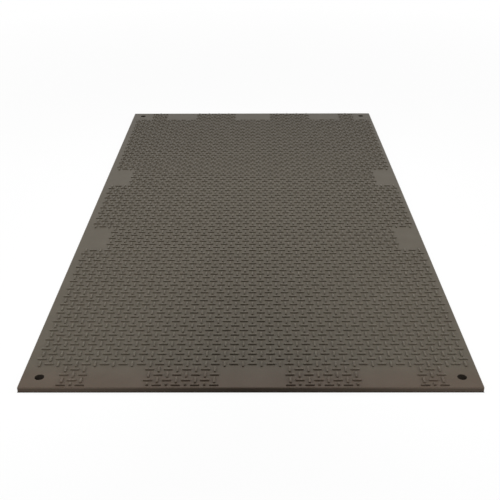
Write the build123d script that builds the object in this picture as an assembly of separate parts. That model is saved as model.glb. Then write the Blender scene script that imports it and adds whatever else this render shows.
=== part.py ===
from build123d import *

import os

# Ground protection mat: one sheet of moulded polyethylene that lies flat on soft ground.
# Millimetres. +Z is up, +Y runs along the mat, and the origin is the middle of its underside.

# The sheet, from the underside to the level of the smooth border and pads
length = 2438.4
width = 1219.2
thickness = 15.0
corner_radius = 6.0

# The moulded rounding along its rim
top_rim_radius = 4.0
bottom_rim_radius = 4.0

# The corner holes, for ground pins or the bolts that join mat to mat
hole_diameter = 25.4
hole_inset = 49.0
hole_rim_radius = 1.0


def blank():
    """The sheet before its edges are eased: a rounded outline of even thickness"""
    outline = RectangleRounded(width, length, corner_radius)
    return extrude(outline, thickness)


def corner_holes():
    """Four straight holes right through the sheet, each set in by the same distance from both edges"""
    spacing_x = width - 2 * hole_inset
    spacing_y = length - 2 * hole_inset
    drill = Cylinder(hole_diameter / 2, thickness, align=(Align.CENTER, Align.CENTER, Align.MIN))
    return [place * drill for place in GridLocations(spacing_x, spacing_y, 2, 2)]


def eased(sheet, side, rim_radius):
    """The sheet with one face's outer rim and hole mouths rounded; side is 0 below and -1 above"""
    rim = sheet.faces().sort_by(Axis.Z)[side].outer_wire().edges()
    sheet = fillet(rim, rim_radius)
    mouths = sheet.faces().sort_by(Axis.Z)[side].inner_wires().edges()
    return fillet(mouths, hole_rim_radius)


def mat():
    """The whole mat, which is moulded in one piece"""
    sheet = blank() - corner_holes()
    sheet = eased(sheet, -1, top_rim_radius)
    return eased(sheet, 0, bottom_rim_radius)


os.makedirs("parts", exist_ok=True)
export_step(mat(), "parts/mat.step")
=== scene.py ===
# %% [markdown]
# A ground protection mat
#
# The object is one sheet of compression-moulded recycled polyethylene, laid on soft ground so that wheels
# and feet don't sink in. The slab, with its rounded rim and its four corner holes, is already modelled to
# size and is loaded here as a fixed frame. What this lesson adds is what the mould's engraved face gives the
# sheet: some four thousand small tread bars, and the look of the plastic.

# %% Load the frame
import math

import bpy
import numpy as np
from mathutils import Matrix, Vector


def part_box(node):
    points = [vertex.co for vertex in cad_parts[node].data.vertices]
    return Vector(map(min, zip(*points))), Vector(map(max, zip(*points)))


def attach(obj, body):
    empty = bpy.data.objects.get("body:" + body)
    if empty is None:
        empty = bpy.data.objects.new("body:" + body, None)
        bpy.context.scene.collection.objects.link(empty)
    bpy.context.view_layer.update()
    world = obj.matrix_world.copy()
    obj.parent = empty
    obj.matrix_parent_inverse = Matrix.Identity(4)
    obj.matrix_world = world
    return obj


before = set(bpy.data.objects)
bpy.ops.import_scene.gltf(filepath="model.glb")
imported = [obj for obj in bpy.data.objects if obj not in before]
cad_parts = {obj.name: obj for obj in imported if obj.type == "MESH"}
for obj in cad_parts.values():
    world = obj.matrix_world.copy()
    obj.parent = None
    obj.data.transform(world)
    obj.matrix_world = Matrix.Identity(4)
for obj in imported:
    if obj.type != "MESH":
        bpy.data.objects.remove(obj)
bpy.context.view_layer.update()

MM = 0.001
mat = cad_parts["mat"]
mat_low, mat_high = (np.array(corner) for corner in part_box("mat"))
face_z = mat_high[2]
print("mat", mat_low, mat_high)

# %% [markdown]
# The tread's layout
#
# The tread is a chequerboard of short raised bars: each square cell holds one bar, and its neighbours hold
# bars turned by a quarter. One could instance a bar on points, or paint the pattern as bump. Here every cell
# gets a column number and a row number, counted from the middle of the mat, so that the whole layout is a
# few array expressions: the parity of column plus row says which way the bar points, and the smooth pads are
# simply the cells where no bar is kept.

# %% Cells of the chequerboard
CELL = 25.12 * MM            # one cell, from bar to bar
LAST_COLUMN = 23             # columns run from -23 to 23 across the mat
LAST_ROW = 48                # rows run from -48 to 48 along it
MOULD_SHIFT = (4.9 * MM, -5.0 * MM)  # the engraving sits this far off the sheet's middle
END_BORDER = 10.0 * MM       # the smooth strip along each short edge, where the tread is cut off

columns, rows = np.meshgrid(
    np.arange(-LAST_COLUMN, LAST_COLUMN + 1),
    np.arange(-LAST_ROW, LAST_ROW + 1),
    indexing="ij",
)
print("cells", columns.size)

# %% Smooth pads
END_PAD_ROWS = 4             # depth of the pads on the short edges
CENTRE_PAD_HALF = 3          # the middle pad spans columns -3 to 3
SIDE_PAD_COLUMNS = (12, 17)  # the pads on either side of it
CORNER_PAD_COLUMNS = 3       # the corner pads and the long edges' pads are this many columns deep
LONG_EDGE_PAD_ROWS = (9, 15)  # the pads on the long edges, one on each side of the mat's middle


def smooth_cells(column, row):
    """True where a cell is part of a smooth pad. The mat is symmetric, so the test is on distances from its
    middle: near a short edge it asks which columns are bare, and near a long edge which rows."""
    across, along = np.abs(column), np.abs(row)
    at_short_edge = along > LAST_ROW - END_PAD_ROWS
    in_corner = across > LAST_COLUMN - CORNER_PAD_COLUMNS
    centre_pad = across <= CENTRE_PAD_HALF
    side_pad = (across >= SIDE_PAD_COLUMNS[0]) & (across <= SIDE_PAD_COLUMNS[1])
    edge_pad = (along >= LONG_EDGE_PAD_ROWS[0]) & (along <= LONG_EDGE_PAD_ROWS[1])
    return (at_short_edge & (centre_pad | side_pad | in_corner)) | (edge_pad & in_corner)


treaded = ~smooth_cells(columns, rows)
points_across = (columns + rows) % 2 == 0
print("bars across", np.sum(treaded & points_across), "bars along", np.sum(treaded & ~points_across))

# %% [markdown]
# One tread bar
#
# A bar is a small loaf: an outline with rounded corners, walls that lean in so that the sheet leaves the
# mould, and a flat crown with an eased edge. A bevelled box would do, but a stack of outlines joined by quads
# gives full control and few faces, which matters when the shape is repeated thousands of times.

# %% A bar as a stack of outlines
BAR_LENGTH = 25.4 * MM
BAR_WIDTH = 6.8 * MM
BAR_HEIGHT = 3.5 * MM
BAR_SINK = 0.5 * MM          # the bar's foot goes this far into the slab, so that no gap shows
BAR_CORNER = 2.9 * MM        # radius of its corners as seen from above
WALL_LEAN = 0.4 * MM         # how far the walls lean in from foot to shoulder
CROWN_EASE = 0.6 * MM
POINTS_PER_CORNER = 3


def rounded_outline(half_length, half_width, radius):
    """Points round a rectangle with rounded corners, anticlockwise: each corner's centre lies one radius in
    from both sides, and its points are that centre plus the radius times the cosine and sine of an angle
    that runs through the corner's quarter turn."""
    angle = np.linspace(0, math.pi / 2, POINTS_PER_CORNER)
    angle = (np.arange(4)[:, None] * math.pi / 2 + angle).ravel()
    side_x = np.repeat([1, -1, -1, 1], POINTS_PER_CORNER)
    side_y = np.repeat([1, 1, -1, -1], POINTS_PER_CORNER)
    x = side_x * (half_length - radius) + radius * np.cos(angle)
    y = side_y * (half_width - radius) + radius * np.sin(angle)
    return np.stack([x, y], axis=-1)


def bar_rings():
    """The bar's rings as an array of ring, point, xyz. A ring is the foot's outline with both halves reduced
    by the ring's inset, at its own height."""
    insets = np.array([0, WALL_LEAN, WALL_LEAN + CROWN_EASE])
    heights = face_z + np.array([-BAR_SINK, BAR_HEIGHT - CROWN_EASE, BAR_HEIGHT])
    rings = []
    for inset, height in zip(insets, heights):
        outline = rounded_outline(BAR_LENGTH / 2 - inset, BAR_WIDTH / 2 - inset, BAR_CORNER - inset)
        rings.append(np.column_stack([outline, np.full(len(outline), height)]))
    return np.array(rings)


rings = bar_rings()
print("points on one bar", rings.shape[0] * rings.shape[1])

# %% [markdown]
# All the bars of one direction
#
# Every bar is the same small array of points moved to its own cell, so one addition places them all. Along
# the short edges the tread is cut off in a straight line, as the mould's engraving stops there: the bars'
# points are simply held back behind that line, which leaves an upright wall.

# %% Place the bars


def tread_points(chosen, quarter_turn):
    """The points of every chosen cell's bar, as an array of bar, ring, point, xyz: one bar's points plus the
    cell's centre, which is the cell's column and row times the cell size, plus the mould's shift. After a
    quarter turn a point's X is minus its old Y, and its Y is its old X."""
    shape = rings[..., [1, 0, 2]] * [-1, 1, 1] if quarter_turn else rings
    centres = np.stack([columns[chosen], rows[chosen]], axis=-1) * CELL + MOULD_SHIFT
    points = np.broadcast_to(shape, (len(centres),) + shape.shape).copy()
    points[..., :2] += centres[:, None, None, :]
    limit = mat_high[1] - END_BORDER
    points[..., 1] = np.clip(points[..., 1], -limit, limit)
    return points


across_points = tread_points(treaded & points_across, False)
along_points = tread_points(treaded & ~points_across, True)
print("points across", across_points.shape, "points along", along_points.shape)

# %% Join them into one mesh for each direction


def bar_faces(ring_count, point_count):
    """Faces of one bar by point number: quads between each ring and the next, one polygon under the foot,
    turned to face down, and one on the crown."""
    here = np.arange(point_count)
    after = (here + 1) % point_count
    below = np.arange(ring_count - 1)[:, None] * point_count
    above = below + point_count
    quads = np.stack([below + here, below + after, above + after, above + here], axis=-1)
    foot = here[::-1]
    crown = here + (ring_count - 1) * point_count
    return quads.reshape(-1, 4), foot, crown


def joined_mesh(name, points):
    """One mesh of many bars. The bars' points follow one another, so a bar's faces are the first bar's, with
    its own first point's number added to each point number."""
    bar_count, ring_count, point_count = points.shape[:3]
    quads, foot, crown = bar_faces(ring_count, point_count)
    first = np.arange(bar_count)[:, None] * ring_count * point_count
    loops = np.concatenate([first + part.ravel() for part in (quads, foot, crown)], axis=1)
    sizes = np.tile([4] * len(quads) + [point_count] * 2, bar_count)
    mesh = bpy.data.meshes.new(name)
    mesh.vertices.add(points.size // 3)
    mesh.vertices.foreach_set("co", points.astype(np.float32).ravel())
    mesh.loops.add(loops.size)
    mesh.loops.foreach_set("vertex_index", loops.astype(np.int32).ravel())
    mesh.polygons.add(len(sizes))
    starts = np.concatenate([[0], np.cumsum(sizes)[:-1]])
    mesh.polygons.foreach_set("loop_start", starts.astype(np.int32))
    mesh.update(calc_edges=True)
    mesh.validate()
    mesh.calc_loop_triangles()
    print(name, bar_count, "bars", len(mesh.loop_triangles), "triangles")
    return mesh


def add_object(name, data):
    """Puts a mesh, a lamp or a camera into the scene."""
    new = bpy.data.objects.new(name, data)
    bpy.context.scene.collection.objects.link(new)
    return new


bars_across = add_object("tread_bars_across", joined_mesh("tread_bars_across", across_points))
bars_along = add_object("tread_bars_along", joined_mesh("tread_bars_along", along_points))
for bars in (bars_across, bars_along):
    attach(bars, "root")

# %% [markdown]
# The plastic
#
# Recycled high-density polyethylene is waxy and matte, with a faint cloudy mottling where flakes of different
# colour were melted together, and a fine grain from the mould's blasted steel. Use adds a film of pale dust,
# which hands and straps wipe off along the near short edge, and paler scuffs on the bars' crowns, which also
# carry a painted highlight. The holes' walls are painted dark as shade. One could paint these as a texture.
# Here each is a mask worked out from the place itself: the distance from an edge, the height, or the distance
# from a hole's axis. One material serves slab and bars, and it reads object coordinates in metres, so the
# mottling runs on from the slab over each bar.

# %% Colours and a node helper
MIX_A, MIX_B, MIX_COLOUR = 6, 7, 2  # the numbers of a Mix node's two colour inputs and of its colour output


def linear(hex_colour):
    """An sRGB hex colour as linear red, green, blue and alpha: each channel is a small straight part and then
    a power of 2.4."""
    channels = [int(hex_colour[i:i + 2], 16) / 255 for i in (1, 3, 5)]
    return [c / 12.92 if c <= 0.04045 else ((c + 0.055) / 1.055) ** 2.4 for c in channels] + [1.0]


def add_node(tree, kind, settings=None, links=None):
    """Adds a node. Settings are the node's own properties or the values of its inputs, and links join an
    input to another node's output, given as the node and the output's name. Where several inputs share a
    name, an input goes by its number."""
    node = tree.nodes.new(kind)
    for name, value in (settings or {}).items():
        if isinstance(name, str) and hasattr(node, name):
            setattr(node, name, value)
        else:
            node.inputs[name].default_value = value
    for name, (source, output) in (links or {}).items():
        tree.links.new(source.outputs[output], node.inputs[name])
    return node


def empty_tree(owner):
    """The node tree of a material or a world, cleared of the nodes that it starts with."""
    owner.use_nodes = True
    owner.node_tree.nodes.clear()
    return owner.node_tree


# %% Where hands wipe the dust off
HANDLED_STRIP = 140 * MM     # depth of the wiped strip along the near short edge


def wiped_strip(tree, place):
    """1 at the near short edge, and by a smooth step 0 at the strip's inner side."""
    axes = add_node(tree, "ShaderNodeSeparateXYZ", links={"Vector": (place, "Object")})
    return add_node(tree, "ShaderNodeMapRange",
                    {"interpolation_type": "SMOOTHSTEP",
                     "From Min": mat_low[1] + HANDLED_STRIP, "From Max": mat_low[1]},
                    {"Value": (axes, "Y")})


print("wiped strip, Y from", mat_low[1], "to", mat_low[1] + HANDLED_STRIP)

# %% Where grit scuffs the bars, and a highlight is painted on their crowns
SCUFF_AND_HIGHLIGHT_DEPTH = 0.9 * MM       # the scuffs and the painted highlight reach this far down from the bars' crowns
SCUFF_AND_HIGHLIGHT_PATCH = 12 * MM        # size of the patches of scuff and painted highlight, which are a little paler than the rest
SCUFF_AND_HIGHLIGHT_NOISE = (0.5, 0.65)    # a patch grows from nothing to its full strength between these noise values
SCUFF_AND_HIGHLIGHT_STRENGTH = 0.3

crown_z = face_z + BAR_HEIGHT


def scuffed_and_highlit_crowns(tree, place):
    """The paler crowns, where a highlight is painted along with the scuffs: the height within their depth,
    from 0 below them to 1 on the crown, times the patches, which are a noise cut to between 0 and their
    strength."""
    axes = add_node(tree, "ShaderNodeSeparateXYZ", links={"Vector": (place, "Object")})
    near_crown = add_node(tree, "ShaderNodeMapRange",
                          {"From Min": crown_z - SCUFF_AND_HIGHLIGHT_DEPTH, "From Max": crown_z},
                          {"Value": (axes, "Z")})
    noise = add_node(tree, "ShaderNodeTexNoise", {"Scale": 1 / SCUFF_AND_HIGHLIGHT_PATCH, "Detail": 3.0},
                     {"Vector": (place, "Object")})
    patches = add_node(tree, "ShaderNodeMapRange",
                       {"From Min": SCUFF_AND_HIGHLIGHT_NOISE[0], "From Max": SCUFF_AND_HIGHLIGHT_NOISE[1], "To Max": SCUFF_AND_HIGHLIGHT_STRENGTH},
                       {"Value": (noise, "Fac")})
    return add_node(tree, "ShaderNodeMath", {"operation": "MULTIPLY"},
                    {0: (near_crown, "Result"), 1: (patches, "Result")})


print("scuffs, Z from", crown_z - SCUFF_AND_HIGHLIGHT_DEPTH, "to", crown_z)

# %% Where shade is painted in the holes
HOLE_INSET = 49.0 * MM       # the corner holes' centres lie this far in from both edges
HOLE_RADIUS = 12.7 * MM
SHADE_FADE = 0.2 * MM         # the painted shade fades out over this much of the holes' eased mouths

hole_x, hole_y = mat_high[:2] - HOLE_INSET


def hole_walls(tree, place):
    """1 on the holes' walls, where shade is painted, falling to 0 over the shade's fade. The four holes
    mirror one another, so the place without its signs, minus the centre of the hole where X and Y are
    positive, is the way from the nearest hole's axis, and its length with Z left out is the distance from
    that axis."""
    mirrored = add_node(tree, "ShaderNodeVectorMath", {"operation": "ABSOLUTE"}, {0: (place, "Object")})
    from_hole = add_node(tree, "ShaderNodeVectorMath", {"operation": "SUBTRACT", 1: (hole_x, hole_y, 0)},
                         {0: (mirrored, "Vector")})
    flat = add_node(tree, "ShaderNodeVectorMath", {"operation": "MULTIPLY", 1: (1, 1, 0)},
                    {0: (from_hole, "Vector")})
    radius = add_node(tree, "ShaderNodeVectorMath", {"operation": "LENGTH"}, {0: (flat, "Vector")})
    return add_node(tree, "ShaderNodeMapRange",
                    {"From Min": HOLE_RADIUS + SHADE_FADE, "From Max": HOLE_RADIUS},
                    {"Value": (radius, "Value")})


print("holes at", hole_x, hole_y)

# %% Compression-moulded recycled polyethylene
FLAKE_CLOUD = 60 * MM        # size of the cloudy patches
FLAKE_SPECK = 4 * MM         # size of single flakes
FLAKE_TINT = 0.15            # how strongly a single flake shows in the colour
MOULD_GRAIN = 0.8 * MM       # blasted steel's grain, drawn about twice as coarse as it is, to show at all
GRAIN_DEPTH = 0.05 * MM
DUSTY = ("#524C42", "#5D574D")  # the two shades of the cloud under pale dust
BARE = ("#51463C", "#5D5248")   # and where the dust is wiped off
# paler crowns: scuffs, and a painted highlight where the crowns catch the light
CROWN_SCUFF_AND_HIGHLIGHT = "#716B60"
PAINTED_HOLE_SHADE = "#322D28"        # painted shade, on the holes' walls and on the floor under the mat


def polyethylene():
    """Matte dark grey-brown, with a fine bump. Dusty and bare plastic are each a mix of two shades by the
    cloud noise. The bare one shows along the near short edge. After that come the scuffs with their painted
    highlight, the flakes, and the painted shade in the holes. The specular level is low, because the real
    sheet hardly shines."""
    material = bpy.data.materials.new("recycled_hdpe_compression_moulded")
    tree = empty_tree(material)
    place = add_node(tree, "ShaderNodeTexCoord")
    cloud = add_node(tree, "ShaderNodeTexNoise", {"Scale": 1 / FLAKE_CLOUD, "Detail": 4.0},
                     {"Vector": (place, "Object")})
    speck = add_node(tree, "ShaderNodeTexNoise", {"Scale": 1 / FLAKE_SPECK, "Detail": 2.0},
                     {"Vector": (place, "Object")})
    grain = add_node(tree, "ShaderNodeTexNoise", {"Scale": 1 / MOULD_GRAIN, "Detail": 1.0},
                     {"Vector": (place, "Object")})
    dusty, bare = (
        add_node(tree, "ShaderNodeMix", {"data_type": "RGBA", MIX_A: linear(one), MIX_B: linear(other)},
                 {"Factor": (cloud, "Fac")})
        for one, other in (DUSTY, BARE)
    )
    wiped = wiped_strip(tree, place)
    cloudy = add_node(tree, "ShaderNodeMix", {"data_type": "RGBA"},
                      {"Factor": (wiped, "Result"), MIX_A: (dusty, MIX_COLOUR), MIX_B: (bare, MIX_COLOUR)})
    # the crowns get paler: scuffs, with a painted highlight
    worn_and_highlit = add_node(tree, "ShaderNodeMix", {"data_type": "RGBA", MIX_B: linear(CROWN_SCUFF_AND_HIGHLIGHT)},
                    {"Factor": (scuffed_and_highlit_crowns(tree, place), "Value"), MIX_A: (cloudy, MIX_COLOUR)})
    flaked = add_node(tree, "ShaderNodeMix",
                      {"data_type": "RGBA", "blend_type": "OVERLAY", "Factor": FLAKE_TINT},
                      {MIX_A: (worn_and_highlit, MIX_COLOUR), MIX_B: (speck, "Color")})
    # painted shade on the holes' walls
    shaded_holes = add_node(tree, "ShaderNodeMix", {"data_type": "RGBA", MIX_B: linear(PAINTED_HOLE_SHADE)},
                      {"Factor": (hole_walls(tree, place), "Result"), MIX_A: (flaked, MIX_COLOUR)})
    bump = add_node(tree, "ShaderNodeBump", {"Strength": 0.3, "Distance": GRAIN_DEPTH},
                    {"Height": (grain, "Fac")})
    surface = add_node(tree, "ShaderNodeBsdfPrincipled",
                       {"Roughness": 0.4, "IOR": 1.52, "Specular IOR Level": 0.07},
                       {"Base Color": (shaded_holes, MIX_COLOUR), "Normal": (bump, "Normal")})
    add_node(tree, "ShaderNodeOutputMaterial", links={"Surface": (surface, "BSDF")})
    return material


plastic = polyethylene()
mat.data.materials.clear()
mat.data.materials.append(plastic)
for bars in (bars_across, bars_along):
    bars.data.materials.append(plastic)
print("material", plastic.name, len(plastic.node_tree.nodes), "nodes")

# %% [markdown]
# The studio
#
# The mat lies on a white floor under soft light. A softbox hangs low over its middle, two large ones stand
# far out at the sides, and two spots from in front lift the near corners. That leaves the walls that face the
# camera dark and makes the tread readable. The white that the camera and the reflections see is a plain
# emission, so no lamp has to be turned up for it, and some of the floor's own shading stays in it to hold the
# mat's shadow. All other rays see a grey floor and a dim world, so that they don't throw light on the front
# edge. Under the mat the floor is painted dark as shade, and that shows through the holes.

# %% Floor
FLOOR_SIZE = 60.0            # metres


def floor():
    """A large square under the mat: four corners, one face."""
    half = FLOOR_SIZE / 2
    mesh = bpy.data.meshes.new("floor")
    corners = [(-half, -half, 0), (half, -half, 0), (half, half, 0), (-half, half, 0)]
    mesh.from_pydata(corners, [], [(0, 1, 2, 3)])
    piece = add_object("floor", mesh)
    return piece


white_floor = floor()
print("floor", FLOOR_SIZE, "metres square")

# %% Floor paint
WHITE_SHARE = 0.92           # how much of the seen floor is plain white; the rest is its own shading
SHADED_REACH = (1.4, 4.5)    # it fades out between these distances in metres, so that no horizon shows
WHITE = "#FFFFFF"
GREY = "#6C6C6C"


def seen_directly(tree):
    """1 for rays from the camera, and for those that a gloss or a clear material sends on, and 0 for the
    rest."""
    path = add_node(tree, "ShaderNodeLightPath")
    glossy = add_node(tree, "ShaderNodeMath", {"operation": "MAXIMUM"},
                      {0: (path, "Is Camera Ray"), 1: (path, "Is Glossy Ray")})
    return add_node(tree, "ShaderNodeMath", {"operation": "MAXIMUM"},
                    {0: (glossy, "Value"), 1: (path, "Is Transmission Ray")})


def under_mat(tree, place):
    """1 inside the mat's outline, where both X and Y are no farther out than its sides, and 0 elsewhere."""
    axes = add_node(tree, "ShaderNodeSeparateXYZ", links={"Vector": (place, "Object")})
    in_width = add_node(tree, "ShaderNodeMath", {"operation": "COMPARE", 1: 0.0, 2: mat_high[0]},
                        {0: (axes, "X")})
    in_length = add_node(tree, "ShaderNodeMath", {"operation": "COMPARE", 1: 0.0, 2: mat_high[1]},
                         {0: (axes, "Y")})
    return add_node(tree, "ShaderNodeMath", {"operation": "MULTIPLY"},
                    {0: (in_width, "Value"), 1: (in_length, "Value")})


def floor_paint():
    """Matte paint: white where it is seen directly, with its own shading mixed in, and grey to other rays.
    Under the mat it is painted dark to all rays, as the shade that the holes show."""
    material = bpy.data.materials.new("matte_floor_paint")
    tree = empty_tree(material)
    white = add_node(tree, "ShaderNodeEmission", {"Color": linear(WHITE), "Strength": 1.0})
    lit_paint = add_node(tree, "ShaderNodeBsdfDiffuse", {"Color": linear(WHITE)})
    place = add_node(tree, "ShaderNodeTexCoord")
    distance = add_node(tree, "ShaderNodeVectorMath", {"operation": "LENGTH"}, {0: (place, "Object")})
    share = add_node(tree, "ShaderNodeMapRange",
                     {"From Min": SHADED_REACH[0], "From Max": SHADED_REACH[1], "To Min": WHITE_SHARE},
                     {"Value": (distance, "Value")})
    shown = add_node(tree, "ShaderNodeMixShader",
                     links={0: (share, "Result"), 1: (lit_paint, "BSDF"), 2: (white, "Emission")})
    covered = under_mat(tree, place)
    # under the mat the floor is painted dark for every ray, as the shade that the holes show
    grey_or_shade = add_node(tree, "ShaderNodeMix",
                            {"data_type": "RGBA", MIX_A: linear(GREY), MIX_B: linear(PAINTED_HOLE_SHADE)},
                            {"Factor": (covered, "Value")})
    dark = add_node(tree, "ShaderNodeBsdfDiffuse", links={"Color": (grey_or_shade, MIX_COLOUR)})
    white_here = add_node(tree, "ShaderNodeMath", {"operation": "SUBTRACT", "use_clamp": True},
                          {0: (seen_directly(tree), "Value"), 1: (covered, "Value")})
    mixed = add_node(tree, "ShaderNodeMixShader",
                     links={0: (white_here, "Value"), 1: (dark, "BSDF"), 2: (shown, "Shader")})
    add_node(tree, "ShaderNodeOutputMaterial", links={"Surface": (mixed, "Shader")})
    return material


white_floor.data.materials.append(floor_paint())

# %% World
AMBIENT = 0.16               # strength of the dim room that lights the mat from all round


def studio_world():
    """White where it is seen directly, and dim to all other rays."""
    world = bpy.data.worlds.new("studio")
    tree = empty_tree(world)
    dim = add_node(tree, "ShaderNodeBackground", {"Color": linear(WHITE), "Strength": AMBIENT})
    bright = add_node(tree, "ShaderNodeBackground", {"Color": linear(WHITE), "Strength": 1.0})
    shown = add_node(tree, "ShaderNodeMixShader",
                     links={0: (seen_directly(tree), "Value"), 1: (dim, "Background"),
                            2: (bright, "Background")})
    add_node(tree, "ShaderNodeOutputWorld", links={"Surface": (shown, "Shader")})
    return world


bpy.context.scene.world = studio_world()

# %% Lamps
SPOT_RADIUS = 0.25           # metres; a larger lamp has softer shadows


def hang(name, lamp, place, aim):
    """Puts a lamp at a place, turned so that its -Z axis points at the aim."""
    holder = add_object(name, lamp)
    holder.location = place
    holder.rotation_mode = "QUATERNION"
    holder.rotation_quaternion = Vector(np.subtract(aim, place)).to_track_quat("-Z", "Y")


def softbox(name, place, aim, size, power):
    """A square area light, whose size in metres sets how soft its shadows are."""
    lamp = bpy.data.lights.new(name, "AREA")
    lamp.size = size
    lamp.energy = power
    hang(name, lamp, place, aim)


def soft_spot(name, place, aim, cone, power):
    """A spotlight whose light fades from the middle of its cone, in degrees, to nothing at its edge."""
    lamp = bpy.data.lights.new(name, "SPOT")
    lamp.spot_size = math.radians(cone)
    lamp.spot_blend = 1.0
    lamp.shadow_soft_size = SPOT_RADIUS
    lamp.energy = power
    hang(name, lamp, place, aim)


softbox("overhead_softbox", place=(0, 0.05, 1.6), aim=(0, 0, 0), size=1.2, power=17.5)
for side, name in ((-1, "left"), (1, "right")):
    softbox(name + "_softbox", place=(side * 5.0, -0.4, 2.2), aim=(0, -0.2, 0), size=3.5, power=170)
    soft_spot(name + "_corner_spot", place=(side * 0.8, -3.4, 1.6), aim=(side * 0.55, -0.98, 0),
              cone=19, power=182)
print("lamps", [lamp.name for lamp in bpy.data.lights])

# %% [markdown]
# The camera
#
# The photograph looks along the mat from beyond one short edge. Its place, turn and lens were fitted to the
# mat's outline and to the tread's rows, with the image taken as 500 by 500 pixels.

# %% Camera
PHOTO_SIDE = 500.0
FOCAL_PIXELS = 839.4
CAMERA_PLACE = (0.0096, -3.0226, 1.2801 + face_z)
PITCH, YAW, ROLL = -26.042, 0.301, 0.194  # degrees

camera_data = bpy.data.cameras.new("camera")
camera_data.sensor_width = 36.0
camera_data.lens = camera_data.sensor_width * FOCAL_PIXELS / PHOTO_SIDE
camera = add_object("camera", camera_data)
turn = Matrix.Rotation(math.radians(YAW), 4, "Z") @ Matrix.Rotation(math.radians(90 + PITCH), 4, "X")
turn = turn @ Matrix.Rotation(math.radians(-ROLL), 4, "Z")
camera.matrix_world = Matrix.Translation(CAMERA_PLACE) @ turn
bpy.context.scene.camera = camera
bpy.context.scene.view_settings.view_transform = "Standard"
print("lens", camera_data.lens)
